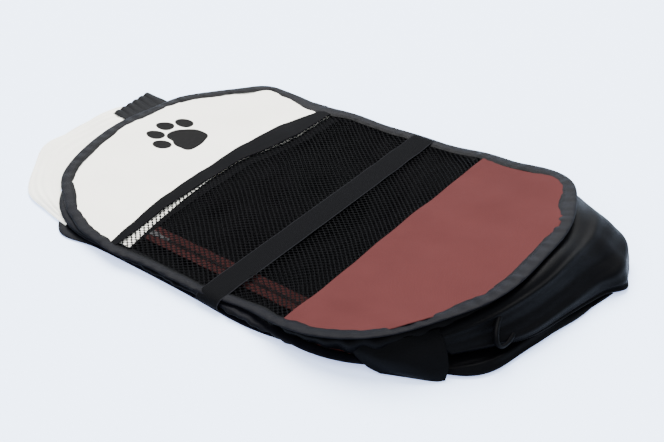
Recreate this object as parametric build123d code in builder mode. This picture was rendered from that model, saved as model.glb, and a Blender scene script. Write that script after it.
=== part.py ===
"""Pop-up pet playpen, folded flat: four oval walls stacked like a concertina, held by an elastic band.

Every wall is a hoop of flat spring steel in a sewn sleeve, with a cream panel, a hem band, a mesh window
and a maroon panel. From the bottom up the stack is left wall, back wall, right wall and front wall.
X runs from the roof end (cream, -X) to the floor end (maroon, +X), and Z is up from the resting surface.
"""
from math import atan2, cos, degrees, radians, sin, sqrt, tan
import os

from build123d import *

os.makedirs("parts", exist_ok=True)

# Driving dimensions, in millimetres
overall_length = 717.0
hoop_length = 612.0
hoop_width = 380.0
hoop_x = 1.5
corner_radius = 150.0
end_radius = 230.0

sleeve_width = 16.0
sleeve_thickness = 3.0
fabric_low = 1.1
fabric_high = 1.9
wall_gap = 0.3
flap_gap = 1.2

channel_inset = 5.0
channel_width = 6.0
channel_low = 1.1
channel_high = 2.1
fit_gap = 0.1
ferrule_length = 24.0
ferrule_width = 7.2
ferrule_low = 0.6
ferrule_high = 2.6
ferrule_offset_x = -110.0

cream_edge = -129.0
hem_width = 18.0
maroon_edge = 125.0

bend_offset_x = 53.0
bend_arc_radius = 250.0
bend_slope = 10.5

flap_thickness = 0.8
flap_hinge_offset = 281.0
flap_reach = 186.0
flap_margin = 4.0

strap_offset_x = 35.0
strap_width = 29.5
strap_thickness = 0.8
strap_clearance = 0.1
strap_recess = 0.9

seam_reach = 4.7
seam_half_length = 143.0
seam_near_start = -98.0

zip_y = -141.0
zip_start = -104.0
zip_length = 222.0
zip_width = 24.0
zip_tape_thickness = 0.3
slider_length = 12.0
slider_width = 8.0
slider_thickness = 0.5
pull_length = 16.0
pull_width = 4.5

slack_gap = 1.5
slack_floor_height = 36.0
roof_slack_shift = 54.0
roof_slack_height = 8.0

paw_x = -207.0
paw_y = 22.0
paw_thickness = 0.3

# Stack levels: the underside of each wall's sleeve
left_level = 0.0
back_level = left_level + sleeve_thickness + flap_gap
right_level = back_level + sleeve_thickness + wall_gap
front_level = right_level + sleeve_thickness + flap_gap
stack_top = front_level + sleeve_thickness

# Centres of the wall outline's arcs
corner_y = hoop_width / 2 - corner_radius
end_x = hoop_length / 2 - end_radius
corner_x = end_x + sqrt((end_radius - corner_radius) ** 2 - corner_y**2)
blend_angle = degrees(atan2(corner_y, corner_x - end_x))

# The front wall's floor end is pushed up by the bunched floor cloth: an arc from bend_x on, then a slope
bend_x = hoop_x + bend_offset_x
bend_centre = (bend_x, front_level + bend_arc_radius)
slope_length = 300.0
flat_start = -400.0
tall = 80.0

strap_low_x = hoop_x + strap_offset_x - strap_width / 2
strap_high_x = hoop_x + strap_offset_x + strap_width / 2


def draw_oval(inset=0.0, mode=Mode.ADD, shift=0.0):
    """A wall's outline moved inwards by inset: straight sides, round corners and flatter round ends."""
    centre = hoop_x + shift
    side_y = hoop_width / 2 - inset
    with BuildLine() as outline:
        Line((centre, side_y), (centre + corner_x, side_y))
        CenterArc((centre + corner_x, corner_y), corner_radius - inset, 90, blend_angle - 90)
        CenterArc((centre + end_x, 0), end_radius - inset, blend_angle, -2 * blend_angle)
        CenterArc((centre + corner_x, -corner_y), corner_radius - inset, -blend_angle, blend_angle - 90)
        Line((centre + corner_x, -side_y), (centre, -side_y))
        mirror(about=Plane.YZ.offset(centre))
    make_face(outline.edges(), mode=mode)


def draw_ring(outer_inset, inner_inset):
    """A closed band that follows the wall's outline between two insets."""
    draw_oval(outer_inset)
    draw_oval(inner_inset, mode=Mode.SUBTRACT)


def draw_panel(low_x, high_x):
    """The part of the wall's field, inside the sleeve, between two lines across it."""
    draw_oval(sleeve_width)
    with Locations((hoop_x + (low_x + high_x) / 2, 0)):
        Rectangle(high_x - low_x, hoop_width, mode=Mode.INTERSECT)


def draw_bent_band(low, high):
    """Side profile of a layer of the front wall: flat, a short arc, then a slope up to the floor end."""
    with BuildLine() as profile:
        Line((flat_start, front_level + low), (bend_x, front_level + low))
        lower_arc = CenterArc(bend_centre, bend_arc_radius - low, -90, bend_slope)
        lower = PolarLine(lower_arc @ 1, slope_length, bend_slope)
        upper_arc = CenterArc(bend_centre, bend_arc_radius - high, -90, bend_slope)
        upper = PolarLine(upper_arc @ 1, slope_length, bend_slope)
        Line(lower @ 1, upper @ 1)
        Line((bend_x, front_level + high), (flat_start, front_level + high))
        Line((flat_start, front_level + high), (flat_start, front_level + low))
    make_face(profile.edges())


def wall_layer(level, low, high, draw, *sizes):
    """A flat shape given the thickness from low to high above a wall's underside, bent in the front wall."""
    with BuildPart() as layer:
        if level < front_level:
            with BuildSketch(Plane.XY.offset(level + low)):
                draw(*sizes)
            extrude(amount=high - low)
        else:
            with BuildSketch(Plane.XY.offset(level)):
                draw(*sizes)
            extrude(amount=tall)
            with BuildSketch(Plane.XZ):
                draw_bent_band(low, high)
            extrude(amount=hoop_width, both=True, mode=Mode.INTERSECT)
    return layer.part


def save(piece, name):
    """Label a finished piece and write it under its own name."""
    piece.part.label = name
    export_step(piece.part, f"parts/{name}.step")


# The four walls: hoop wire, ferrule, sleeve and the four fabric panels of each
walls = {"left_wall": left_level, "back_wall": back_level, "right_wall": right_level, "front_wall": front_level}
panels = {
    "cream_panel": (-hoop_length / 2, cream_edge),
    "hem_band": (cream_edge, cream_edge + hem_width),
    "mesh_window": (cream_edge + hem_width, maroon_edge),
    "maroon_panel": (maroon_edge, hoop_length / 2),
}
ferrule_y = hoop_width / 2 - channel_inset - channel_width / 2
ferrule_x = hoop_x + ferrule_offset_x

for wall, level in walls.items():
    wire_sizes = (channel_inset + fit_gap, channel_inset + channel_width - fit_gap)
    with BuildPart() as hoop_wire:
        add(wall_layer(level, channel_low + fit_gap, channel_high - fit_gap, draw_ring, *wire_sizes))
    save(hoop_wire, f"{wall}_hoop_wire")

    with BuildPart() as ferrule:
        with BuildSketch(Plane.XY.offset(level + ferrule_low)):
            with Locations((ferrule_x, ferrule_y)):
                Rectangle(ferrule_length, ferrule_width)
        extrude(amount=ferrule_high - ferrule_low)
        add(hoop_wire.part, mode=Mode.SUBTRACT)
    save(ferrule, f"{wall}_ferrule")

    with BuildPart() as sleeve:
        add(wall_layer(level, 0, sleeve_thickness, draw_ring, 0, sleeve_width))
        channel_sizes = (channel_inset, channel_inset + channel_width)
        add(wall_layer(level, channel_low, channel_high, draw_ring, *channel_sizes), mode=Mode.SUBTRACT)
        with BuildSketch(Plane.XY.offset(level + ferrule_low - fit_gap)):
            with Locations((ferrule_x, ferrule_y)):
                Rectangle(ferrule_length + 2 * fit_gap, ferrule_width + 2 * fit_gap)
        extrude(amount=ferrule_high - ferrule_low + 2 * fit_gap, mode=Mode.SUBTRACT)
        if wall == "left_wall":
            # the elastic band presses a recess into the lowest sleeve, so its lower run lies flush
            with BuildSketch(Plane.XY):
                with Locations((hoop_x + strap_offset_x, 0)):
                    Rectangle(strap_width + 1, hoop_width + 2)
            extrude(amount=strap_recess, mode=Mode.SUBTRACT)
    save(sleeve, f"{wall}_sleeve")

    for panel, (low_x, high_x) in panels.items():
        with BuildPart() as field:
            add(wall_layer(level, fabric_low, fabric_high, draw_panel, low_x, high_x))
        # the lowest wall is backed with plain black cloth where the others have mesh
        plain = wall == "left_wall" and panel == "mesh_window"
        save(field, "left_wall_black_panel" if plain else f"{wall}_{panel}")

# Paw print on the front wall: four toe pads that point to the roof end and one rounded heel pad
toes = ((-13, -30, 26, 19), (-37, -18, 26, 18), (-43, 4, 26, 18), (-28, 23, 26, 18))
with BuildSketch() as heel:
    Polygon((-31, -4), (-22, 14), (14, 26), (26, 18), (26, -24), (10, -18), align=None)
    fillet(heel.vertices(), radius=6)
with BuildPart() as paw_print:
    with BuildSketch(Plane.XY.offset(front_level + fabric_high)):
        for x, y, length, width in toes:
            with Locations((hoop_x + paw_x + x, paw_y + y)):
                Ellipse(length / 2, width / 2, rotation=8)
        with Locations((hoop_x + paw_x, paw_y)):
            add(heel.sketch)
    extrude(amount=paw_thickness)
save(paw_print, "paw_print")


# Seam strips: the folded edge of fabric by which each wall is sewn to the next
def seam_strip(level, side, spans):
    """A strip along one long side of a wall, left out where the elastic band passes."""
    with BuildPart() as strip:
        with BuildSketch(Plane.XY.offset(level + fabric_low)):
            for low_x, high_x in spans:
                with Locations(((low_x + high_x) / 2, side * (hoop_width + seam_reach) / 2)):
                    Rectangle(high_x - low_x, seam_reach)
        extrude(amount=fabric_high - fabric_low)
    return strip


seam_end = hoop_x + seam_half_length
far_spans = ((hoop_x - seam_half_length, strap_low_x - 1), (strap_high_x + 1, seam_end))
near_spans = ((hoop_x + seam_near_start, strap_low_x - 1), (strap_high_x + 1, seam_end))
save(seam_strip(left_level, 1, far_spans), "seam_left_back")
save(seam_strip(back_level, -1, near_spans), "seam_back_right")
save(seam_strip(right_level, 1, far_spans), "seam_right_front")


# Floor and roof halves: cloth that lies folded between two walls and turns up to close an end of the pen
def end_flap(level, end):
    """Half of the floor (end 1) or roof (end -1): the wall's oval cut back by 45 degrees on the seam side."""
    hinge = flap_hinge_offset
    inner = hinge - flap_reach
    slant_y = hoop_width / 2 - flap_margin
    with BuildPart() as flap:
        with BuildSketch(Plane.XY.offset(level + sleeve_thickness + (flap_gap - flap_thickness) / 2)):
            draw_oval(flap_margin)
            with BuildLine():
                Polyline(
                    (hoop_x + end * hinge, -hoop_width),
                    (hoop_x + end * hinge, slant_y),
                    (hoop_x + end * inner, slant_y - flap_reach),
                    (hoop_x + end * inner, -hoop_width),
                    close=True,
                )
            make_face(mode=Mode.INTERSECT)
        extrude(amount=flap_thickness)
    return flap


save(end_flap(left_level, 1), "floor_left_half")
save(end_flap(right_level, 1), "floor_right_half")
save(end_flap(left_level, -1), "roof_left_half")
save(end_flap(right_level, -1), "roof_right_half")

# Door zip on the right wall's mesh window: maroon facing tape with the zip's chain, slider and pull
zip_level = right_level + fabric_high
with BuildPart() as zip_tape:
    with BuildSketch(Plane.XY.offset(zip_level)):
        with Locations((hoop_x + zip_start + zip_length / 2, zip_y)):
            Rectangle(zip_length, zip_width)
    extrude(amount=zip_tape_thickness)
save(zip_tape, "zip_tape")

slider_low = zip_level + zip_tape_thickness + fit_gap
slider_x = hoop_x + zip_start + slider_length
with BuildPart() as zip_slider:
    with BuildSketch(Plane.XY.offset(slider_low)):
        with Locations((slider_x, zip_y)):
            RectangleRounded(slider_length, slider_width, 2.5)
    extrude(amount=slider_thickness)
save(zip_slider, "zip_slider")

with BuildPart() as zip_pull:
    with BuildSketch(Plane.XY.offset(slider_low)):
        with Locations((slider_x + (slider_length + pull_length) / 2, zip_y)):
            RectangleRounded(pull_length, pull_width, 1.5)
        with Locations((slider_x + slider_length / 2 + pull_length - 4, zip_y)):
            Circle(1.2, mode=Mode.SUBTRACT)
    extrude(amount=slider_thickness)
save(zip_pull, "zip_pull")

# Elastic band round the middle of the stack, with the sewn overlap that closes it underneath
band_inner_y = hoop_width / 2 + strap_clearance
band_low = strap_recess - strap_clearance
band_high = stack_top + strap_clearance
with BuildPart() as elastic_band:
    with BuildSketch(Plane.YZ.offset(strap_low_x)):
        with Locations((0, (band_low + band_high) / 2)):
            outer_width = 2 * (band_inner_y + strap_thickness)
            RectangleRounded(outer_width, band_high - band_low + 2 * strap_thickness, 0.9)
            Rectangle(2 * band_inner_y, band_high - band_low, mode=Mode.SUBTRACT)
    extrude(amount=strap_width)
save(elastic_band, "elastic_band")

with BuildPart() as band_overlap:
    with BuildSketch(Plane.XY.offset(band_low)):
        with Locations((hoop_x + strap_offset_x, 90)):
            Rectangle(strap_width - 3, 26)
    extrude(amount=(fabric_low - band_low) / 2)
save(band_overlap, "band_overlap")

# Loose cloth. The floor cloth bulges out past the floor end, and lies bunched under the front wall
floor_tip = (overall_length / 2, 80)
with BuildPart() as floor_cloth_bulge:
    with BuildSketch(Plane.XY):
        with BuildLine():
            ThreePointArc((hoop_x + 225, 166), (hoop_x + 318, 120), floor_tip)
            ThreePointArc(floor_tip, (hoop_x + 324, -30), (hoop_x + 222, -160))
            Line((hoop_x + 222, -160), (hoop_x + 225, 166))
        make_face()
        draw_oval(-slack_gap, mode=Mode.SUBTRACT)
    extrude(amount=slack_floor_height)
    with BuildSketch(Plane.XZ):
        with BuildLine():
            Polyline(
                (hoop_x + 180, 0),
                (overall_length / 2, 0),
                (overall_length / 2, 6),
                (hoop_x + hoop_length / 2, slack_floor_height),
                (hoop_x + 180, 22),
                close=True,
            )
        make_face()
    extrude(amount=hoop_width, both=True, mode=Mode.INTERSECT)
save(floor_cloth_bulge, "floor_cloth_bulge")

bunch_start = bend_x + 60
bunch_end = hoop_x + hoop_length / 2
slope_start = (
    bend_x + bend_arc_radius * sin(radians(bend_slope)),
    front_level + bend_arc_radius * (1 - cos(radians(bend_slope))),
)


def under_front_wall(x):
    """Height just below the front wall's underside on its slope."""
    return slope_start[1] + (x - slope_start[0]) * tan(radians(bend_slope)) - fit_gap


with BuildPart() as floor_cloth_bunch:
    with BuildSketch(Plane.XY.offset(front_level)):
        draw_oval(flap_margin)
    extrude(amount=tall)
    with BuildSketch(Plane.XZ):
        with BuildLine():
            Polyline(
                (bunch_start, front_level),
                (bunch_end, front_level),
                (bunch_end, under_front_wall(bunch_end)),
                (bunch_start, under_front_wall(bunch_start)),
                close=True,
            )
        make_face()
    extrude(amount=hoop_width, both=True, mode=Mode.INTERSECT)
save(floor_cloth_bunch, "floor_cloth_bunch")

# The roof cloth shows as a low crescent past the roof end
roof_cloth_top_y = 20
with BuildPart() as roof_cloth_bulge:
    with BuildSketch(Plane.XY):
        draw_oval(shift=-roof_slack_shift)
        draw_oval(-slack_gap, mode=Mode.SUBTRACT)
        with Locations((-overall_length / 2 + 90, roof_cloth_top_y - hoop_width / 2)):
            Rectangle(180, hoop_width, mode=Mode.INTERSECT)
    extrude(amount=roof_slack_height)
save(roof_cloth_bulge, "roof_cloth_bulge")

# Gathered end of the seam cloth at the far roof corner
with BuildPart() as gathered_tab:
    with BuildSketch(Plane.XY.offset(left_level + 4)):
        with Locations((hoop_x - 328, roof_cloth_top_y + 24)):
            RectangleRounded(54, 44, 6)
        draw_oval(-slack_gap, mode=Mode.SUBTRACT)
    extrude(amount=4)
save(gathered_tab, "gathered_tab")
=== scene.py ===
import math

import bpy
import numpy as np
from mathutils import Matrix, Vector


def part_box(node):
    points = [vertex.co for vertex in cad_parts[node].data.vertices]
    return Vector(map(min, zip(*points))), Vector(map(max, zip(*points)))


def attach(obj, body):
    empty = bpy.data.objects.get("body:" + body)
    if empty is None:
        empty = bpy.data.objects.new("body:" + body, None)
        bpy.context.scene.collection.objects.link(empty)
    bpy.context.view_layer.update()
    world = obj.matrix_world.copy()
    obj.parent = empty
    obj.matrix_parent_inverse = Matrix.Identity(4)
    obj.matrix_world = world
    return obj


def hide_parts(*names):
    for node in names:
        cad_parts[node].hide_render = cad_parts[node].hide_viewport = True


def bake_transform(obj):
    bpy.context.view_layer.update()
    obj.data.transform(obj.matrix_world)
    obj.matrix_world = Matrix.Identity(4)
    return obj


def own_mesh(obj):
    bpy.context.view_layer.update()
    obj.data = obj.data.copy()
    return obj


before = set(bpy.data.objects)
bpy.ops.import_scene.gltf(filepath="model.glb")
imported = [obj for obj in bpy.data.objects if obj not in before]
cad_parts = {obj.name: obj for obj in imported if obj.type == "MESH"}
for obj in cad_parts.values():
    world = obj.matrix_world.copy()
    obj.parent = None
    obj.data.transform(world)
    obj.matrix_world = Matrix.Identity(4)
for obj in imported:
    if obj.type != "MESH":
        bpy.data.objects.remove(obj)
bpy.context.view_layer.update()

# Camera. It looks down on the folded playpen from the near right, with the roof end
# at the left and the floor end at the right, and is held a few degrees off level.
view_elevation = math.radians(34.66)
view_azimuth = math.radians(40.52)
view_roll = math.radians(-3.04)
view_distance = 1.162
view_target = Vector((0.0394, 0.0018, -0.0023))

view_back = Vector((
    math.sin(view_azimuth) * math.cos(view_elevation),
    -math.cos(view_azimuth) * math.cos(view_elevation),
    math.sin(view_elevation),
))
level_right = Vector((math.cos(view_azimuth), math.sin(view_azimuth), 0))
level_up = view_back.cross(level_right)
view_right = level_right * math.cos(view_roll) + level_up * math.sin(view_roll)
view_up = level_up * math.cos(view_roll) - level_right * math.sin(view_roll)
camera = bpy.data.objects.new("camera", bpy.data.cameras.new("camera"))
camera.data.sensor_width = 36
camera.data.lens = 56.93
camera.matrix_world = Matrix.Translation(view_target + view_back * view_distance) @ Matrix(
    (view_right, view_up, view_back)
).transposed().to_4x4()
bpy.context.scene.collection.objects.link(camera)
bpy.context.scene.camera = camera


# Floor and light. A plain pale board that glows faintly blue, under a big soft box overhead,
# a weaker one at the camera's side, and an even pale room all round.
class Value:
    """A shader socket that adds a Math node for each operator used on it."""

    def __init__(self, finish, node, output):
        self.finish = finish
        self.node = node
        self.socket = node.outputs[output]

    def out(self, output):
        return Value(self.finish, self.node, output)

    def math(self, operation, first, second=0.0):
        return self.finish.node("Math", {"operation": operation}, {0: first, 1: second})

    def __add__(self, other):
        return self.math("ADD", self, other)

    def __radd__(self, other):
        return self.math("ADD", other, self)

    def __sub__(self, other):
        return self.math("SUBTRACT", self, other)

    def __rsub__(self, other):
        return self.math("SUBTRACT", other, self)

    def __mul__(self, other):
        return self.math("MULTIPLY", self, other)

    def sine(self):
        return self.math("SINE", self)

    def size(self):
        return self.math("ABSOLUTE", self)

    def above(self, edge):
        return self.math("GREATER_THAN", self, edge)


class Finish:
    """One material. `node` adds any node, and `surface` fills the shader's sockets."""

    def __init__(self, name):
        self.material = bpy.data.materials.new(name)
        self.material.use_nodes = True
        self.tree = self.material.node_tree
        self.shader = self.tree.nodes["Principled BSDF"]

    def fill(self, node, sockets):
        for name, value in sockets.items():
            if isinstance(value, Value):
                self.tree.links.new(value.socket, node.inputs[name])
            else:
                node.inputs[name].default_value = value

    def node(self, kind, settings, sockets, output=0):
        made = self.tree.nodes.new("ShaderNode" + kind)
        for name, value in settings.items():
            setattr(made, name, value)
        self.fill(made, sockets)
        return Value(self, made, output)

    def surface(self, **sockets):
        self.fill(self.shader, {name.replace("_", " "): value for name, value in sockets.items()})
        return self

    def noise(self, where, scale, detail=2.0):
        return self.node("TexNoise", {}, {"Vector": where, "Scale": scale, "Detail": detail})

    def weave(self):
        return self.node("UVMap", {"uv_map": "weave"}, {})

    def place(self):
        return self.node("TexCoord", {}, {}, output="Object")

    def blended(self, share, first, second):
        colours = {0: share, 6: (*first, 1) if isinstance(first, tuple) else first,
                   7: (*second, 1) if isinstance(second, tuple) else second}
        return self.node("Mix", {"data_type": "RGBA"}, colours, output=2)

    def bump(self, height, strength, distance):
        return self.node("Bump", {}, {"Height": height, "Strength": strength, "Distance": distance})

    def grained(self, grain, colours, rough, relief, **constants):
        """The colour, roughness and relief all follow one noise. `rough` is the least roughness and its
        range, and `relief` is the bump's strength and distance."""
        return self.surface(
            Base_Color=self.blended(grain, *colours),
            Roughness=rough[0] + grain * rough[1],
            Normal=self.bump(grain, *relief),
            **constants,
        )


board = Finish("pale_board")
board_tone = board.noise(board.place(), 3.0)
board.surface(
    Base_Color=board.blended(board_tone, (0.72, 0.84, 1.0), (0.76, 0.87, 1.0)),
    Roughness=0.75,
    Emission_Color=(0.45, 0.55, 1.0, 1),
    Emission_Strength=1.2,
)
floor_mesh = bpy.data.meshes.new("studio_floor")
floor_reach = 5.0
floor_mesh.from_pydata(
    [(-floor_reach, -floor_reach, 0), (floor_reach, -floor_reach, 0),
     (floor_reach, floor_reach, 0), (-floor_reach, floor_reach, 0)],
    [], [(0, 1, 2, 3)],
)
floor_mesh.materials.append(board.material)
studio_floor = bpy.data.objects.new("studio_floor", floor_mesh)
bpy.context.scene.collection.objects.link(studio_floor)


def soft_sun(name, direction, strength, spread, colour):
    """Even light from one direction, as from a very large soft box that looks `spread` degrees wide."""
    light = bpy.data.lights.new(name, "SUN")
    light.energy = strength
    light.angle = math.radians(spread)
    light.color = colour
    lamp = bpy.data.objects.new(name, light)
    lamp.rotation_euler = (-Vector(direction)).to_track_quat("-Z", "Y").to_euler()
    bpy.context.scene.collection.objects.link(lamp)


soft_sun("overhead_box", (-0.45, 0.55, 1.0), 11.6, 45, (1.0, 0.99, 0.98))
soft_sun("front_box", (0.7, -0.7, 0.9), 2.2, 70, (0.96, 0.98, 1.0))
room = bpy.data.worlds.new("room")
room.use_nodes = True
room.node_tree.nodes["Background"].inputs["Color"].default_value = (0.84, 0.92, 1.0, 1)
room.node_tree.nodes["Background"].inputs["Strength"].default_value = 1.85
bpy.context.scene.world = room

# Hoops. Each of the four walls is held open by one closed oval of flat spring steel,
# 5.8 x 0.8 mm, its ends joined by a pressed ferrule. Folded, the four lie in a stack,
# and the loose floor cloth lifts the floor end of the top one.
wall_names = ["left_wall", "back_wall", "right_wall", "front_wall"]
sleeve_low, sleeve_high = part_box("left_wall_sleeve")
hoop_x = (sleeve_low.x + sleeve_high.x) / 2
half_length = (sleeve_high.x - sleeve_low.x) / 2
half_width = (sleeve_high.y - sleeve_low.y) / 2
end_radius = 0.230
corner_radius = 0.150
end_angle = math.radians(30)
end_centre_x = half_length - end_radius
corner_centre_x = end_centre_x + (end_radius - corner_radius) * math.cos(end_angle)
corner_centre_y = half_width - corner_radius

bend_start = hoop_x + 0.053
bend_radius = 0.250
bend_slope = math.radians(10.5)


def plain_oval(count):
    """Outer line of a hoop: the direction of its normal goes once round from +X, at end_radius within
    end_angle of the X axis and at corner_radius beyond it, and is then spaced evenly along the line."""
    turn = np.linspace(0, 2 * np.pi, 1441)
    to_end = np.abs(np.cos(turn)) > math.cos(end_angle)
    side_x = np.sign(np.cos(turn))
    radius = np.where(to_end, end_radius, corner_radius)
    x = hoop_x + side_x * np.where(to_end, end_centre_x, corner_centre_x) + radius * np.cos(turn)
    y = np.where(to_end, 0, np.sign(np.sin(turn)) * corner_centre_y) + radius * np.sin(turn)
    run = np.concatenate([[0], np.cumsum(np.hypot(np.diff(x), np.diff(y)))])
    even = np.arange(count) / count * run[-1]
    return np.stack([np.interp(even, run, x), np.interp(even, run, y)], axis=1), run[-1]


def humps(round_share, table):
    """Sum of smooth humps on a closed line: each is (where, how much, how wide), `where` and `how wide` in
    shares of the way round."""
    away = [(round_share - where + 0.5) % 1 - 0.5 for where, amount, spread in table]
    return sum(amount * np.exp(-(a / spread) ** 2) for a, (where, amount, spread) in zip(away, table))


def ripple(round_share, count, seed):
    """A random wave between about -1 and 1 that closes on itself: six sines of whole numbers near `count`."""
    picked = np.random.default_rng(seed)
    turns = picked.integers(int(count * 0.6), int(count * 1.4) + 1, 6)
    phases = picked.uniform(0, 2 * np.pi, 6)
    waves = [np.sin(2 * np.pi * round_share * t + p) for t, p in zip(turns, phases)]
    return sum(waves) / 3.2


# How far the hoops' outer lines stray from the plain oval, as (where, metres outwards, how wide)
strays = {
    "left_wall": [(0.72, -0.002, 0.08), (0.80, 0.003, 0.03), (0.865, -0.014, 0.045), (0.64, 0.011, 0.016),
                  (0.57, -0.014, 0.03), (0.50, -0.008, 0.04), (0.25, -0.006, 0.12), (0.0, -0.010, 0.08)],
    "back_wall": [(0.73, -0.003, 0.08), (0.86, -0.007, 0.05), (0.57, -0.012, 0.03), (0.50, -0.005, 0.04),
                  (0.27, -0.004, 0.10), (0.0, -0.008, 0.08)],
    "right_wall": [(0.73, -0.003, 0.08), (0.84, 0.001, 0.05), (0.57, -0.010, 0.03), (0.50, -0.005, 0.04),
                   (0.30, -0.007, 0.08), (0.0, -0.008, 0.08)],
    "front_wall": [(0.445, 0.006, 0.018), (0.50, 0.002, 0.022), (0.378, 0.009, 0.016),
                   (0.327, -0.009, 0.028), (0.265, -0.004, 0.022), (0.150, -0.010, 0.022),
                   (0.100, 0.006, 0.022), (0.005, -0.006, 0.030), (0.922, -0.005, 0.025),
                   (0.795, -0.008, 0.022), (0.690, 0.005, 0.016), (0.612, -0.008, 0.024),
                   (0.640, -0.004, 0.015)],
}
hoop_steps = 900
round_share = np.arange(hoop_steps) / hoop_steps
oval_line, oval_length = plain_oval(hoop_steps)


def outward(line):
    """Unit normals of a closed anticlockwise line: its direction turned clockwise a quarter turn."""
    ahead = np.roll(line, -1, 0) - np.roll(line, 1, 0)
    ahead /= np.linalg.norm(ahead, axis=1, keepdims=True)
    return np.stack([ahead[:, 1], -ahead[:, 0]], axis=1)


def hoop_line(wall, inset):
    """The wall's outer line moved inwards by `inset`, a number or one for each step."""
    moved = oval_line + outward(oval_line) * humps(round_share, strays[wall])[:, None]
    return moved - outward(moved) * np.broadcast_to(inset, (hoop_steps,))[:, None]


def bent(points):
    """Carries points at the front wall's flat place onto its bent one: level up to bend_start, then round an
    arc of bend_radius to bend_slope, then straight on. Height above the wall's level stays square to the
    surface."""
    x, y, z = points[..., 0], points[..., 1], points[..., 2]
    run = np.maximum(x - bend_start, 0)
    angle = np.minimum(run / bend_radius, bend_slope)
    straight = run - bend_radius * angle
    above = z - wall_level["front_wall"]
    new_x = np.minimum(x, bend_start) + bend_radius * np.sin(angle) + straight * math.cos(bend_slope)
    new_z = z - above + bend_radius * (1 - np.cos(angle)) + straight * math.sin(bend_slope)
    return np.stack([new_x - above * np.sin(angle), y, new_z + above * np.cos(angle)], axis=-1)


wall_level = {wall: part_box(wall + "_sleeve")[0].z for wall in wall_names}


def settled(points, wall):
    """Points of a wall's piece at their place: the front wall's go round its bend."""
    return bent(points) if wall == "front_wall" else points


def with_height(line, height):
    """A flat line lifted to `height`."""
    return np.concatenate([line, np.broadcast_to(height, (len(line),))[:, None]], axis=1)


def made_piece(name, points, faces, uv, finish):
    """An object from arrays: points, four-cornered faces, and one UV point for each corner, in metres."""
    mesh = bpy.data.meshes.new(name)
    mesh.vertices.add(len(points))
    mesh.vertices.foreach_set("co", points.astype(np.float32).ravel())
    mesh.loops.add(faces.size)
    mesh.loops.foreach_set("vertex_index", faces.astype(np.int32).ravel())
    mesh.polygons.add(len(faces))
    mesh.polygons.foreach_set("loop_start", np.arange(0, faces.size, 4, dtype=np.int32))
    mesh.polygons.foreach_set("use_smooth", np.ones(len(faces), bool))
    mesh.update(calc_edges=True)
    layer = mesh.uv_layers.new(name="weave")
    layer.uv.foreach_set("vector", uv.astype(np.float32).ravel())
    mesh.materials.append(finish.material)
    made = bpy.data.objects.new(name, mesh)
    bpy.context.scene.collection.objects.link(made)
    return made


def grid_faces(rows, columns, closed=(False, False)):
    """The corners of a grid's faces as row and column numbers, not yet wrapped: two arrays of faces x 4."""
    i, j = np.meshgrid(np.arange(rows - (not closed[0])), np.arange(columns - (not closed[1])), indexing="ij")
    i, j = i.ravel(), j.ravel()
    return np.stack([i, i + 1, i + 1, i], axis=1), np.stack([j, j, j + 1, j + 1], axis=1)


def grid_piece(name, grid, finish, closed=(False, False)):
    """A piece from a grid of points. Its faces join neighbours, and a closed direction joins its end to its
    start. Its UV map is the mean distance along the rows and the columns."""
    rows, columns = grid.shape[:2]
    i, j = grid_faces(rows, columns, closed)
    long_steps = np.linalg.norm(np.roll(grid, -1, 0) - grid, axis=2).mean(1)
    wide_steps = np.linalg.norm(np.roll(grid, -1, 1) - grid, axis=2).mean(0)
    u = np.concatenate([[0], np.cumsum(long_steps)])
    v = np.concatenate([[0], np.cumsum(wide_steps)])
    uv = np.stack([u[i], v[j]], axis=-1)
    return made_piece(name, grid.reshape(-1, 3), (i % rows) * columns + j % columns, uv, finish)


def tube(line, radial, up, wide, high, sides):
    """A closed tube: an oval of half-size `wide` along `radial` and `high` along `up`, carried along a
    line."""
    round_it = np.arange(sides) / sides * 2 * np.pi
    out = np.cos(round_it)[None, :, None] * radial[:, None, :] * wide
    rise = np.sin(round_it)[None, :, None] * up[None, None, :] * high
    return line[:, None, :] + out + rise


steel = Finish("tempered_spring_steel")
steel_drawn = (8.0, 900.0, 1.0)
steel_stretch = steel.node("VectorMath", {"operation": "MULTIPLY"}, {0: steel.weave(), 1: steel_drawn})
steel.grained(
    steel.noise(steel_stretch, 1.0), ((0.40, 0.41, 0.44), (0.62, 0.63, 0.64)),
    rough=(0.28, 0.2), relief=(0.15, 0.0002), Metallic=1.0,
)
crimp = Finish("pressed_ferrule_steel")
crimp.grained(
    crimp.noise(crimp.weave(), 500.0, 3.0), ((0.45, 0.45, 0.43), (0.72, 0.72, 0.70)),
    rough=(0.35, 0.2), relief=(0.2, 0.0002), Metallic=1.0,
)
wire_inset = 0.0064
wire_half_width = 0.0029
wire_half_height = 0.0004
ferrule_half_length = 0.012
ferrule_half_width = 0.0036
ferrule_half_height = 0.0008
ferrule_place = 0.25 + 0.110 / oval_length
wire_middle = 0.0015
upwards = np.array([0.0, 0.0, 1.0])


def flatten_when_open(piece, wall):
    """The front wall's bend is only there while the folded cloth pushes on it. This gives the front wall's
    piece its own copy of its mesh, and does not take the bend away."""
    if wall == "front_wall":
        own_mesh(piece)


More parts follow.
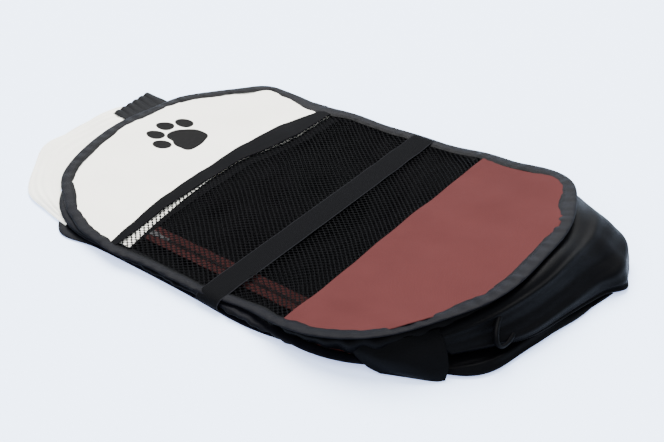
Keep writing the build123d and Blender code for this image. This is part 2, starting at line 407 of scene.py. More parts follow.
for wall in wall_names:
    wire_line = with_height(hoop_line(wall, wire_inset), wall_level[wall] + wire_middle)
    wire_out = with_height(outward(wire_line[:, :2]), 0.0)
    wire = grid_piece(
        wall + "_spring_hoop",
        settled(tube(wire_line, wire_out, upwards, wire_half_width, wire_half_height, 8), wall),
        steel, closed=(True, True),
    )
    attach(wire, wall)
    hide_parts(wall + "_hoop_wire")
    flatten_when_open(wire, wall)
    near_ferrule = np.abs(round_share - ferrule_place) * oval_length < ferrule_half_length
    ferrule_tube = tube(
        wire_line[near_ferrule], wire_out[near_ferrule], upwards,
        ferrule_half_width, ferrule_half_height, 16,
    )
    mouth = ferrule_tube.mean(axis=1, keepdims=True)
    pinched = mouth + (ferrule_tube - mouth) * 0.1
    closing = np.concatenate([pinched[:1], ferrule_tube, pinched[-1:]])
    ferrule = grid_piece(wall + "_crimp", settled(closing, wall), crimp, closed=(False, True))
    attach(ferrule, wall)
    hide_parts(wall + "_ferrule")
    flatten_when_open(ferrule, wall)

# Binding. A black satin bias strip is folded round each hoop and sewn through the wall cloth
# on its inner side. It fits loosely, so it puckers across the hoop and twists at the tight bends.
binding_width = {"left_wall": 0.014, "back_wall": 0.014, "right_wall": 0.014, "front_wall": 0.0152}
binding_height = 0.0030
binding_sides = 18
stitch_pitch = 0.0030


def satin(name, low_colour, high_colour, gloss, sheen_level=0.035, sewn_at=None):
    """Black satin: fine twill lines across the strip, soft clouding and a soft sheen. Where `sewn_at` gives
    the place of a sewn edge across the strip, the cloth sinks and is painted near black there as painted
    shade of the seam, with a row of stitches."""
    made = Finish(name)
    place = made.weave()
    split = made.node("SeparateXYZ", {}, {"Vector": place})
    along, over = split, split.out(1)
    twill = ((along + over * 0.6) * (2 * math.pi / 0.0009)).sine()
    clouds = made.noise(place, 55.0, 3.0)
    fibres = made.noise(place, 1400.0)
    tone = clouds * 0.75 + fibres * 0.25
    colour = made.blended(tone, low_colour, high_colour)
    relief = twill * 0.35 + clouds * 1.4
    if sewn_at:
        away = (over - sewn_at).size()
        # The band along the sewn edge, where painted shade goes.
        sewn = 1.0 - away.above(0.0028)
        stitches = (along * (2 * math.pi / stitch_pitch)).sine().above(-0.2)
        thread = stitches * (1.0 - (away - 0.0016).size().above(0.0004))
        # Painted shade: the band along the sewn edge is coloured near black.
        colour = made.blended(sewn * 0.92, colour, (0.0003, 0.0003, 0.0004))
        colour = made.blended(thread * 0.6, colour, (0.0060, 0.0060, 0.0080))
        relief = relief + thread * 0.8 - sewn * 0.6
    made.surface(
        Base_Color=colour,
        Roughness=gloss + clouds * 0.16,
        Sheen_Roughness=0.4,
        Sheen_Tint=(0.75, 0.8, 1.0, 1),
        Specular_IOR_Level=sheen_level,
        Sheen_Weight=0.002,
        Normal=made.bump(relief, 0.35, 0.0004),
    )
    return made


binding_satin = satin(
    "binding_satin", (0.0006, 0.0006, 0.0010), (0.0034, 0.0034, 0.0054), gloss=0.40, sewn_at=0.0150,
)


def binding_grid(wall):
    """The binding's skin: an oval section carried along the hoop, thin at its sewn inner edge, whose width,
    height and inner edge wave along the hoop."""
    seed = wall_names.index(wall)
    loose = 0.55 + 0.45 * ripple(round_share, 9, 20 + seed)
    pucker = ripple(round_share, 120, 30 + seed) * loose
    width = binding_width[wall] * (1 + 0.05 * ripple(round_share, 34, 40 + seed) + 0.02 * pucker)
    if wall == "front_wall":
        width = width + humps(round_share, [
            (0.75, -0.0035, 0.09), (0.368, -0.0035, 0.010), (0.405, -0.0015, 0.010), (0.325, 0.0075, 0.020),
            (0.50, 0.0022, 0.07), (0.0, 0.0025, 0.06), (0.06, 0.003, 0.03), (0.955, 0.002, 0.015),
        ])
    height = binding_height / 2 * (1 + 0.10 * ripple(round_share, 60, 50 + seed) + 0.14 * pucker)
    outer = hoop_line(wall, 0.0)
    normal = with_height(outward(outer), 0.0)
    turn = np.arange(binding_sides) / binding_sides * 2 * np.pi
    across = np.cos(turn)
    sewn = np.clip((across + 0.86) / 0.5, 0, 1)
    section = np.sin(turn) * (0.30 + 0.70 * sewn * sewn * (3 - 2 * sewn))
    lean = ripple(round_share, 75, 60 + seed)[:, None] * 0.0004 * np.sin(turn) ** 2
    middle = with_height(outer, wall_level[wall] + binding_height / 2)[:, None, :]
    inwards = (1 - across)[None, :, None] / 2 * width[:, None, None]
    lift = height[:, None] * section + lean * (np.sin(turn) > 0)
    return middle - normal[:, None, :] * inwards + lift[:, :, None] * upwards


def binding_inset(wall):
    """How far in the binding's inner edge is, at each step round the hoop."""
    grid = binding_grid(wall)
    return np.linalg.norm((grid[:, 0] - grid[:, binding_sides // 2])[:, :2], axis=1)


for wall in wall_names:
    binding_skin = settled(binding_grid(wall), wall)
    binding = grid_piece(wall + "_binding", binding_skin, binding_satin, closed=(True, True))
    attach(binding, wall)
    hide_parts(wall + "_sleeve")
    flatten_when_open(binding, wall)

# Wall panels. Each wall is sewn from a cream cloth at the roof end, a knitted mesh window and a
# maroon canvas at the floor end; the left wall has a black cloth in place of the mesh. A black hem covers the
# join of the cream cloth and the mesh.
cloth_height = 0.0015
tuck = 0.0075
fullness = 0.00045
cloth_width = 0.356
thin_cloth = 0.0003
zip_y = sum(corner.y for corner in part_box("zip_tape")) / 2
zip_clear = 0.024


def cream_edge(wall, y):
    """X of the cream cloth's edge. The front wall's bows towards the roof; the right wall's slants, so that
    a wedge of it shows through the mesh above."""
    if wall == "front_wall":
        far = np.clip((y - 0.105) / 0.050, 0, 1)
        return hoop_x - 0.139 + 0.020 * (np.abs(y) / 0.170) ** 2.0 + 0.005 * far * far * (3 - 2 * far)
    if wall == "right_wall":
        near = np.clip(-(y + 0.034) / 0.140, 0, 1)
        far = np.clip((y - 0.004) / 0.110, 0, 1)
        bend = hoop_x - 0.1205 + 0.011 * near * near + 0.0215 * far * far * (3 - 2 * far)
        return bend + 0.0008 * np.sin(y * 240) * far
    return hoop_x - 0.129 + 0.004 * (y / 0.17) ** 2


def hem_edge(wall, y):
    """X of the hem's edge on the mesh side."""
    if wall == "front_wall":
        near = np.clip(-(y + 0.034) / 0.140, 0, 1)
        far = np.clip(y / 0.110, 0, 1)
        return hoop_x - 0.118 + 0.011 * near * near + 0.021 * far * far * (3 - 2 * far)
    if wall == "right_wall":
        return cream_edge(wall, y) + 0.016
    return cream_edge(wall, y) + 0.018


maroon_edge = hoop_x + 0.1255


def inner_y(wall, x, side):
    """Y of the binding's inner edge at x, on the far side (1) or the near side (-1)."""
    line = hoop_line(wall, binding_inset(wall) - tuck)
    mine = line[:, 1] * side > 0.02
    chosen = line[mine]
    order = np.argsort(chosen[:, 0])
    return np.interp(x, chosen[order, 0], chosen[order, 1])


def cloth_lift(wall, x, y):
    """Height of the wall's cloth above its level: broad soft waves that die out at the binding, and along
    the right wall's zip."""
    seed = wall_names.index(wall)
    edge = np.clip((half_width - 0.014 - np.abs(y)) / 0.03, 0, 1)
    waves = (
        np.sin(x * 31 + y * 17 + seed) + 0.7 * np.sin(x * 63 - y * 38 + 2 * seed)
        + 0.5 * np.sin(x * 22 + y * 95 + 1.7) + 0.35 * np.sin(x * 120 + y * 60 + seed * 3)
    )
    near_fold = np.exp(-((y + 0.135 + 0.10 * (x - 0.20)) / 0.010) ** 2) * np.clip((x - 0.13) / 0.03, 0, 1)
    slack = 1.8 if wall == "front_wall" else 1.0
    if wall == "right_wall":
        edge = edge * (1 - np.exp(-(((y - zip_y) / zip_clear) ** 4)))
    return cloth_height + fullness * waves * edge * slack + 0.0014 * near_fold * (wall == "front_wall")


def sheet_area(grid):
    """Area of a grid's faces."""
    one = grid[1:, 1:] - grid[:-1, :-1]
    two = grid[1:, :-1] - grid[:-1, 1:]
    return float(np.linalg.norm(np.cross(one, two), axis=2).sum() / 2)


def end_panel_flat(wall, side, chord, rows=70, columns=120):
    """A wall's end panel in plan: straight lines run from its seam, x = chord(y), to the binding round the
    end. side is 1 at the floor end and -1 at the roof end."""
    line = hoop_line(wall, binding_inset(wall) - tuck)
    wide = np.linspace(-1, 1, columns)
    reach = 0.166
    where = (side * wide * reach + (0 if side > 0 else 0.5)) % 1
    share = np.append(round_share, 1)
    closed_line = np.append(line, line[:1], axis=0)
    rim = np.stack([np.interp(where, share, closed_line[:, k]) for k in (0, 1)], axis=1)
    near = inner_y(wall, chord(np.array([-0.17])), -1)[0]
    far = inner_y(wall, chord(np.array([0.17])), 1)[0]
    seam_y = near + (far - near) * (wide + 1) / 2
    seam = np.stack([chord(seam_y), seam_y], axis=1)
    out = np.linspace(0, 1, rows)[:, None, None]
    plan = seam[None] * (1 - out) + rim[None] * out
    return plan if side > 0 else plan[::-1]


def lifted(plan, wall, extra=0.0):
    """A plan grid at its wall's height."""
    z = wall_level[wall] + cloth_lift(wall, plan[..., 0], plan[..., 1]) + extra
    return np.concatenate([plan, z[..., None]], axis=-1)


def thicken(piece, thickness):
    """Gives a cloth surface its thickness, half on each side."""
    wall_of_cloth = piece.modifiers.new("thickness", "SOLIDIFY")
    wall_of_cloth.thickness = thickness
    wall_of_cloth.offset = 0
    return piece


def woven(name, low_colour, high_colour, pitch, depth, rough, mottle=22.0):
    """Plain-woven cloth: warp and weft that pass over each other at `pitch`, uneven yarns, and soft
    clouding."""
    made = Finish(name)
    place = made.weave()
    split = made.node("SeparateXYZ", {}, {"Vector": place})
    warp = (split * (2 * math.pi / pitch)).sine()
    weft = (split.out(1) * (2 * math.pi / pitch)).sine()
    weave = warp * weft * 0.5 + 0.5
    clouds = made.noise(place, mottle, 3.0)
    slubs = made.noise(place, 700.0, 2.0)
    tone = clouds * 0.45 + weave * 0.25 + slubs * 0.30
    made.surface(
        Base_Color=made.blended(tone, low_colour, high_colour),
        Roughness=rough + slubs * 0.1,
        Specular_IOR_Level=0.025,
        Normal=made.bump(weave * 0.7 + slubs * 0.5 + clouds * 0.8, 0.4, depth),
    )
    return made


cream_cloth = woven("cream_cloth", (0.74, 0.70, 0.61), (0.88, 0.85, 0.77), 0.0011, 0.00025, 0.72)
maroon_cloth = woven("maroon_canvas", (0.039, 0.0104, 0.0102), (0.066, 0.0195, 0.0185), 0.0016, 0.0005, 0.80)
hem_cloth = woven("hem_tape", (0.0006, 0.0006, 0.0009), (0.0026, 0.0026, 0.0032), 0.0013, 0.0005, 0.70)
backing_cloth = woven(
    "black_backing_cloth", (0.0005, 0.0005, 0.0007), (0.0020, 0.0020, 0.0024), 0.0010, 0.0002, 0.7,
)
mesh_yarn = Finish("mesh_yarn")
mesh_yarn.grained(
    mesh_yarn.noise(mesh_yarn.weave(), 2500.0), ((0.0004, 0.0004, 0.0006), (0.0016, 0.0016, 0.0020)),
    rough=(0.50, 0.15), relief=(0.3, 0.0001), Specular_IOR_Level=0.02,
)
mesh_pitch = 0.0037
mesh_period = 0.0062
yarn_half_width = 0.00090
yarn_half_height = 0.00017
yarn_share = 0.40


def mesh_window(wall):
    """Knitted mesh: yarns run across the wall, each stepping from side to side so that it meets its
    neighbours in turn, which leaves six-sided holes. Each yarn is a flat ribbon of four sides, closed at its
    ends. Gives the piece and the window's length."""
    start_x = hem_edge(wall, 0.0) - 0.012
    yarns = int((maroon_edge + 0.003 - start_x) / mesh_pitch)
    shift = wall_names.index(wall) * 0.37 % 1
    base_x = start_x + (np.arange(yarns) + 0.3 + 0.7 * shift) * mesh_pitch
    near, far = inner_y(wall, base_x, -1), inner_y(wall, base_x, 1)
    steps = int((far - near).max() / mesh_period) * 4
    step = np.arange(steps)
    swing = np.where((step // 2) % 2 == 0, 1.0, -1.0) * (mesh_pitch / 2 - yarn_half_width * 0.6)
    swing = swing[None, :] * np.where(np.arange(yarns) % 2 == 0, 1, -1)[:, None]
    x = base_x[:, None] + swing
    y = near[:, None] + (far - near)[:, None] * (step / (steps - 1))[None, :]
    y = y + shift * mesh_period * np.sin(np.pi * step / (steps - 1))[None, :]
    keep_off = hem_edge(wall, y) - 0.004 - x
    x = x + np.maximum(keep_off, 0)
    line = lifted(np.stack([x, y], axis=-1), wall)
    side = np.array([1.0, 0, 0]) * yarn_half_width
    up = upwards * yarn_half_height
    ring = np.stack([side, up, -side, -up])
    points = line[:, :, None, :] + ring[None, None]
    points = settled(points, wall)
    i, j = grid_faces(steps, 4, (False, True))
    body = i * 4 + j % 4
    last = (steps - 1) * 4
    caps = np.array([[0, 1, 2, 3], [last + 3, last + 2, last + 1, last]])
    each = np.concatenate([body[:, ::-1], caps])
    faces = (np.arange(yarns) * steps * 4)[:, None, None] + each[None]
    flat_points = points.reshape(-1, 3)
    faces = faces.reshape(-1, 4)
    uv = flat_points[faces][..., :2]
    return made_piece(wall + "_mesh", flat_points, faces, uv, mesh_yarn), maroon_edge - start_x


for wall in wall_names:
    roof_plan = end_panel_flat(wall, -1, lambda y: cream_edge(wall, y) + 0.004)
    cream = grid_piece(wall + "_cream_cloth", settled(lifted(roof_plan, wall), wall), cream_cloth)
    floor_plan = end_panel_flat(wall, 1, lambda y: maroon_edge + 0 * y)
    maroon = grid_piece(wall + "_maroon_canvas", settled(lifted(floor_plan, wall), wall), maroon_cloth)
    hem_y = np.linspace(0, 1, 240)[None, :]
    hem_x = np.linspace(0, 1, 14)[:, None]
    hem_near = inner_y(wall, cream_edge(wall, np.array([-0.17])), -1)[0]
    hem_far = inner_y(wall, cream_edge(wall, np.array([0.17])), 1)[0]
    y = hem_near + (hem_far - hem_near) * hem_y + 0 * hem_x
    left = cream_edge(wall, y) + 0.00035 * np.sin(y * 1450) * np.sin(y * 211)
    right = hem_edge(wall, y)
    plan = np.stack([left + (right - left) * hem_x, y], axis=-1)
    crown = 0.0006 + 0.0004 * np.sin(np.pi * hem_x) + 0.0002 * np.sin(y * 190 + hem_x * 3)
    hem = grid_piece(wall + "_hem", settled(lifted(plan, wall, crown), wall), hem_cloth)
    if wall == "left_wall":
        plain_y = np.linspace(0, 1, 150)[None, :]
        plain_x = np.linspace(0, 1, 110)[:, None]
        near_y, far_y = inner_y(wall, np.array([hoop_x]), -1)[0], inner_y(wall, np.array([hoop_x]), 1)[0]
        y = near_y + (far_y - near_y) * plain_y + 0 * plain_x
        x = hem_edge(wall, y) - 0.004 + (maroon_edge + 0.003 - hem_edge(wall, y) + 0.004) * plain_x
        window_grid = lifted(np.stack([x, y], axis=-1), wall)
        window = grid_piece(wall + "_black_cloth", window_grid, backing_cloth)
        window_length, window_area, window_thickness = 0.25, sheet_area(window_grid), thin_cloth
        window_node, window_slot = "black_panel", "black_cloth"
    else:
        window, window_length = mesh_window(wall)
        window_area, window_thickness = yarn_share * cloth_width * window_length, None
        window_node, window_slot = "mesh_window", "mesh"
    for piece, node, finish_slot, thickness in (
        (cream, "cream_panel", "cream_cloth", thin_cloth),
        (maroon, "maroon_panel", "maroon_cloth", 0.0005),
        (hem, "hem_band", "hem", 0.0006),
        (window, window_node, window_slot, window_thickness),
    ):
        if thickness:
            thicken(piece, thickness)
        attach(piece, wall)
        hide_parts(f"{wall}_{node}")
        flatten_when_open(piece, wall)
    sheet_area(lifted(roof_plan, wall))
    sheet_area(lifted(floor_plan, wall))
    sheet_area(lifted(plan, wall))

# Paw print. Five flat pads of black ink are screened on the front wall's cream cloth, with
# the toes towards the roof end.
print_lift = 0.00022
paw_x = hoop_x - 0.2078
paw_y = 0.022
toe_turn = math.radians(8)
toes = [(-0.013, -0.030, 0.013, 0.0095), (-0.037, -0.018, 0.013, 0.009),
        (-0.043, 0.004, 0.013, 0.009), (-0.028, 0.023, 0.013, 0.009)]
ink = Finish("print_ink")
ink.grained(
    ink.noise(ink.weave(), 260.0, 4.0), ((0.0008, 0.0007, 0.0007), (0.0030, 0.0026, 0.0025)),
    rough=(0.55, 0.2), relief=(0.25, 0.0002), Specular_IOR_Level=0.03,
)


def disc(count):
    """A square grid pulled into a round disc of radius 1, with no pole: each side bows out to the circle."""
    a = np.linspace(-1, 1, count)
    x, y = np.meshgrid(a, a, indexing="ij")
    return x * np.sqrt(1 - y * y / 2), y * np.sqrt(1 - x * x / 2)


def pad(x, y):
    """The pad's points on the cloth, as a sheet a print's thickness above it."""
    plan = np.stack([paw_x + x, paw_y + y], axis=-1)
    return lifted(plan, "front_wall", print_lift)


pads = []
disc_x, disc_y = disc(25)
for toe_x, toe_y, toe_long, toe_wide in toes:
    taper = 1 + 0.12 * disc_x
    x = disc_x * toe_long
    y = disc_y * toe_wide * taper
    pads.append(pad(
        toe_x + x * math.cos(toe_turn) - y * math.sin(toe_turn),
        toe_y + x * math.sin(toe_turn) + y * math.cos(toe_turn),
    ))
disc_x, disc_y = disc(41)
heel_corners = np.array([
    (-0.0270, -0.006), (-0.0160, 0.013), (0.0060, 0.0225), (0.0180, 0.020), (0.0225, 0.009), (0.0255, -0.008),
    (0.0240, -0.021), (0.0120, -0.0205), (-0.0090, -0.0145), (-0.0225, -0.0135),
])
corner_turn = np.arctan2(heel_corners[:, 1] + 0.001, heel_corners[:, 0])
corner_size = np.hypot(heel_corners[:, 1] + 0.001, heel_corners[:, 0])
order = np.argsort(corner_turn)
corner_turn = corner_turn[order]
turn_ring = np.concatenate([corner_turn - 2 * np.pi, corner_turn, corner_turn + 2 * np.pi])
size_ring = np.tile(corner_size[order], 3)
fine_turn = np.linspace(-np.pi, np.pi, 721)
soft = np.exp(-(np.linspace(-1, 1, 81) / 0.5) ** 2)
fine_size = np.interp(np.linspace(-2 * np.pi, 2 * np.pi, 1441), turn_ring, size_ring)
fine_size = np.convolve(fine_size, soft / soft.sum(), mode="same")[360:1081]
around = np.arctan2(disc_y, disc_x)
reach = np.interp(around, fine_turn, fine_size)
pads.append(pad(disc_x * reach, disc_y * reach - 0.001))
pad_points = np.concatenate([p.reshape(-1, 3) for p in pads])
pad_faces, pad_start = [], 0
for p in pads:
    i, j = grid_faces(*p.shape[:2])
    pad_faces.append(pad_start + i * p.shape[1] + j)
    pad_start += p.shape[0] * p.shape[1]
pad_faces = np.concatenate(pad_faces)
paw = made_piece("paw_print_pads", pad_points, pad_faces, pad_points[pad_faces][..., :2], ink)
thicken(paw, 0.0002)
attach(paw, "front_wall")
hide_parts("paw_print")
flatten_when_open(paw, "front_wall")

# Elastic band. One black knitted webbing, 29.5 mm wide, goes round the whole stack and is sewn
# to itself underneath with a short overlap.
band_low, band_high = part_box("elastic_band")
band_x = (band_low.x + band_high.x) / 2
band_half_width = (band_high.x - band_low.x) / 2
band_half_thickness = 0.00045
band_steps = 360
band_columns = 28


def webbing(name, middle_x, half_width):
    """Knitted elastic: ribs along its length, fine cross threads, and a paler line at each edge, which is a
    painted highlight.
    """
    made = Finish(name)
    place = made.place()
    split = made.node("SeparateXYZ", {}, {"Vector": place})
    ribs = (split * (2 * math.pi / 0.0019)).sine()
    threads = ((split.out(1) + split.out(2)) * (2 * math.pi / 0.0012)).sine()
    # Painted highlight: the colour is paler within 0.8 mm of each edge of the band.
    painted_edge_highlight = (split - middle_x).size().above(half_width - 0.0008)
    fluff = made.noise(place, 1500.0)
    tone = ribs * 0.22 + threads * 0.10 + fluff * 0.45 + 0.25
    ground = made.blended(tone, (0.0006, 0.0006, 0.0008), (0.0026, 0.0026, 0.0032))
    made.surface(
        # The paler edge colour mixed in here is the painted highlight.
        Base_Color=made.blended(painted_edge_highlight * 0.7, ground, (0.013, 0.013, 0.015)),
        Roughness=0.62 + fluff * 0.2,
        Specular_IOR_Level=0.02,
        Normal=made.bump(ribs * 0.6 + threads * 0.35 + fluff * 0.4, 0.5, 0.0004),
    )
    return made


band_webbing = webbing("elastic_webbing", band_x, band_half_width)


def outer_y(wall, x, side):
    """Y of a hoop's outer line at x, on the far side (1) or the near side (-1)."""
    line = hoop_line(wall, 0.0)
    chosen = line[line[:, 1] * side > 0.02]
    order = np.argsort(chosen[:, 0])
    return np.interp(x, chosen[order, 0], chosen[order, 1])


def band_path(count):
    """The band's middle line round the stack: flat below, slightly slack above, with rounded ends that press
    on the hoops' edges. It is a flattened ring, y = reach * cosine and z = height * sine, each drawn out to
    its corners."""
    turn = np.arange(count) / count * 2 * np.pi
    far = outer_y("front_wall", band_x, 1) + 0.0022
    near = outer_y("front_wall", band_x, -1) - 0.0040
    middle, reach = (far + near) / 2, (far - near) / 2
    low_z, high_z = band_low.z + band_half_thickness, band_high.z - band_half_thickness
    cosine, sine = np.cos(turn), np.sin(turn)
    drawn = (np.abs(cosine) ** 14 + np.abs(sine) ** 14) ** (-1 / 14)
    y = middle + reach * np.sign(cosine) * np.minimum(np.abs(cosine * drawn), 1)
    round_end = np.clip((np.abs(y - middle) - (reach - 0.010)) / 0.010, 0, 1)
    height = (high_z - low_z) / 2 * np.sqrt(np.maximum(1 - round_end ** 2.4, 0))
    squareness = np.clip(sine * drawn, -1, 1)
    z = (high_z + low_z) / 2 + np.where(np.abs(squareness) >= 0.999, np.sign(sine), squareness) * height
    slack = np.clip(1 - ((y - middle) / (reach - 0.014)) ** 2, 0, 1) * (sine > 0)
    return np.stack([0 * y + band_x, y, z - 0.0011 * slack ** 0.5], axis=1)


def press_flat(piece):
    """The band is off and the loose cloth is smoothed out while the pen stands open. This gives the piece its
    own copy of its mesh, and does not flatten it."""
    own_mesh(piece)


def even_path(path, count):
    """A closed path with its points spaced evenly."""
    closed = np.append(path, path[:1], axis=0)
    run = np.concatenate([[0], np.cumsum(np.linalg.norm(np.diff(closed, axis=0), axis=1))])
    even = np.arange(count) / count * run[-1]
    return np.stack([np.interp(even, run, closed[:, k]) for k in range(3)], axis=1)


band_line = even_path(band_path(2000), band_steps)
band_ahead = np.roll(band_line, -1, 0) - np.roll(band_line, 1, 0)
band_out = np.stack([0 * band_ahead[:, 0], band_ahead[:, 2], -band_ahead[:, 1]], axis=1)
band_out /= np.linalg.norm(band_out, axis=1, keepdims=True)
section = np.arange(band_columns) / band_columns * 2 * np.pi
section_x = np.sign(np.cos(section)) * np.abs(np.cos(section)) ** 0.35 * band_half_width
section_out = np.sign(np.sin(section)) * np.abs(np.sin(section)) ** 0.6 * band_half_thickness
band_run = np.arange(band_steps) / band_steps
edge_wave = 0.0004 * ripple(band_run, 22, 90)[:, None] * np.abs(np.cos(section)) ** 2
band_grid = (
    band_line[:, None, :]
    + np.array([1.0, 0, 0]) * (section_x[None, :] + 0 * band_run[:, None])[..., None]
    + band_out[:, None, :] * (section_out[None, :] + edge_wave)[..., None]
)
band = grid_piece("elastic_band_webbing", band_grid[:, ::-1], band_webbing, closed=(True, True))
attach(band, "left_wall")
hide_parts("elastic_band")
press_flat(band)
overlap_low, overlap_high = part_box("band_overlap")
overlap_y = np.linspace(overlap_low.y, overlap_high.y, 30)[:, None]
overlap_x = np.linspace(overlap_low.x, overlap_high.x, 24)[None, :]
stitch_dips = 0.00006 * np.sin((overlap_x + overlap_y) * 2000)
overlap_grid = np.stack([
    overlap_x + 0 * overlap_y, overlap_y + 0 * overlap_x, (overlap_low.z + overlap_high.z) / 2 + stitch_dips,
], axis=-1)
overlap = thicken(grid_piece("elastic_band_overlap", overlap_grid[::-1], band_webbing), thin_cloth)
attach(overlap, "left_wall")
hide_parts("band_overlap")
press_flat(overlap)

# Seams. Neighbouring walls are joined along one long side by a strip of black cloth,
# sewn to both bindings, which is the hinge that they fold on.
seam_satin = satin("seam_strip_satin", (0.0004, 0.0004, 0.0006), (0.0018, 0.0018, 0.0026), 0.46)
for node, lower, upper, side in (
    ("seam_left_back", "left_wall", "back_wall", 1),
    ("seam_back_right", "back_wall", "right_wall", -1),
    ("seam_right_front", "right_wall", "front_wall", 1),
):
    seam_low, seam_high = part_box(node)
    x = np.linspace(seam_low.x, seam_high.x, 260)[:, None]
    fold = np.linspace(0, 1, 12)[None, :]
    low_z, high_z = wall_level[lower] + 0.0012, wall_level[upper] + 0.0018
    from_y, to_y = outer_y(lower, x, side) - side * 0.0010, outer_y(upper, x, side) - side * 0.0010
    under_band = np.exp(-(((x - band_x) / 0.022) ** 4))
    slack = 0.0028 + 0.0009 * np.sin(x * 170 + 2 * low_z * 900) + 0.0005 * np.sin(x * 420)
    swell = slack * (1 - 0.85 * under_band)
    y = from_y + (to_y - from_y) * fold + side * swell * np.sin(np.pi * fold)
    z = low_z + (high_z - low_z) * fold + 0 * x
    strip = np.stack([x + 0 * fold, y, z], axis=-1)
    seam = thicken(grid_piece(node + "_strip", strip[:, ::side], seam_satin), 0.0005)
    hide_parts(node)
    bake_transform(seam)

# Floor and roof. Each is one cloth sewn to the walls' ends; folded flat, its halves lie between
# the walls, creased where they meet the hoops.
nylon = satin("floor_nylon", (0.0003, 0.0003, 0.0004), (0.0009, 0.0009, 0.0013), 0.34, sheen_level=0.022)
roof_cloth = woven("roof_cloth", (0.74, 0.70, 0.61), (0.88, 0.85, 0.77), 0.0009, 0.0002, 0.70)
flap_inset = 0.014
inset_line = oval_line - outward(oval_line) * flap_inset
near_line = inset_line[inset_line[:, 1] < -0.02]
near_line = near_line[np.argsort(near_line[:, 0])]
for end, cloth, cloth_slot in (("floor", backing_cloth, "black_cloth"), ("roof", roof_cloth, "cream_cloth")):
    for half in ("left", "right"):
        node = f"{end}_{half}_half"
        half_low, half_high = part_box(node)
        crease_x, free_x = (half_high.x, half_low.x) if end == "floor" else (half_low.x, half_high.x)
        if end == "floor":
            free_x = max(free_x, maroon_edge + 0.003)
        share = np.linspace(0, 1, 70)[:, None]
        wide = np.linspace(0, 1, 110)[None, :]
        x = free_x + (crease_x - free_x) * share
        near_y = np.interp(x, near_line[:, 0], near_line[:, 1])
        slant = np.abs(x - free_x)
        far_y = np.minimum(-near_y, slant - 0.001)
        y = near_y + (far_y - near_y) * wide
        crumple = 0.00012 * (np.sin(x * 90 + y * 50) + np.sin(y * 110 - x * 40))
        z = (half_low.z + half_high.z) / 2 + crumple
        if end == "roof":
            near_part = np.clip(-(y - 0.012) / 0.186, 0, 1) * (half == "right")
            edge_x = hem_edge("front_wall", y) - 0.004 + 0.016 * near_part
            x = x + (edge_x - free_x) * (1 - share) ** 2
        flap_grid = np.stack([x + 0 * wide, y, z], axis=-1)
        if end == "roof":
            flap_grid = flap_grid[::-1]
        flap = thicken(grid_piece(node + "_cloth", flap_grid, cloth), thin_cloth)
        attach(flap, node)
        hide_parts(node)

# Door zip. A maroon facing tape is sewn on the right wall's mesh, with a black coil zip down its
# middle. The slider and its pull are pressed metal, lacquered black.
tape_low, tape_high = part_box("zip_tape")
tape_y = (tape_low.y + tape_high.y) / 2
tape_share = np.linspace(0, 1, 220)[:, None]
tape_wide = np.linspace(0, 1, 24)[None, :]
tape_grid = np.stack([
    tape_low.x + (tape_high.x - tape_low.x) * tape_share + 0 * tape_wide,
    tape_low.y + (tape_high.y - tape_low.y) * tape_wide + 0.0003 * np.sin(tape_share * 40),
    (tape_low.z + tape_high.z) / 2 + 0.0001 * np.sin(tape_share * 60 + tape_wide * 5),
], axis=-1)
# The facing is maroon, but its colours are set darker than the wall's canvas: that extra darkness is painted
# shade from inside the stack, under the mesh.
facing_cloth = woven("zip_facing", (0.018, 0.0056, 0.0052), (0.030, 0.0090, 0.0084), 0.0011, 0.0003, 0.75)
facing = thicken(grid_piece("zip_facing_tape", tape_grid, facing_cloth), thin_cloth)
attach(facing, "right_wall")
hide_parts("zip_tape")
coil_pitch = 0.0015
coil_yarn_radius = 0.00025
coil_turns = int((tape_high.x - tape_low.x - 0.006) / coil_pitch)
coil_steps = coil_turns * 10
coil = Finish("zip_coil_nylon")
coil.grained(
    coil.noise(coil.weave(), 900.0, 3.0), ((0.0010, 0.0010, 0.0012), (0.0040, 0.0040, 0.0046)),
    rough=(0.45, 0.2), relief=(0.2, 0.0001), Specular_IOR_Level=0.05,
)
for coil_side, coil_name in ((-1, "zip_coil_near"), (1, "zip_coil_far")):
    run = np.arange(coil_steps) / 10
    turn = 2 * np.pi * run + (math.pi / 2 if coil_side > 0 else 0)
    coil_line = np.stack([
        tape_low.x + 0.003 + run * coil_pitch,
        tape_y + coil_side * (0.0011 + 0.0013 * np.cos(turn)),
        tape_high.z + 0.00010 + 0.00022 * np.sin(turn),
    ], axis=1)
    ahead = np.gradient(coil_line, axis=0)
    ahead /= np.linalg.norm(ahead, axis=1, keepdims=True)
    sideways = np.cross(ahead, upwards)
    sideways /= np.linalg.norm(sideways, axis=1, keepdims=True)
    lifted_way = np.cross(sideways, ahead)
    ring = np.arange(5) / 5 * 2 * np.pi
    aside = np.cos(ring)[None, :, None] * sideways[:, None, :]
    aloft = np.sin(ring)[None, :, None] * lifted_way[:, None, :]
    coil_grid = coil_line[:, None, :] + coil_yarn_radius * (aside + aloft)
    row = grid_piece(coil_name, coil_grid, coil, closed=(False, True))
    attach(row, "right_wall")
lacquer = Finish("black_lacquered_zinc")
lacquer.grained(
    lacquer.noise(lacquer.place(), 600.0, 4.0), ((0.0010, 0.0010, 0.0012), (0.0050, 0.0050, 0.0056)),
    rough=(0.35, 0.25), relief=(0.1, 0.0001), Specular_IOR_Level=0.10,
)
for node in ("zip_slider", "zip_pull"):
    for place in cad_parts[node].material_slots:
        place.material = lacquer.material

# Loose floor cloth. The pen's black nylon floor is far larger than the folded stack, so it spills
# out past the floor end and lies in soft folds on the table; part of it is bunched under the front wall.


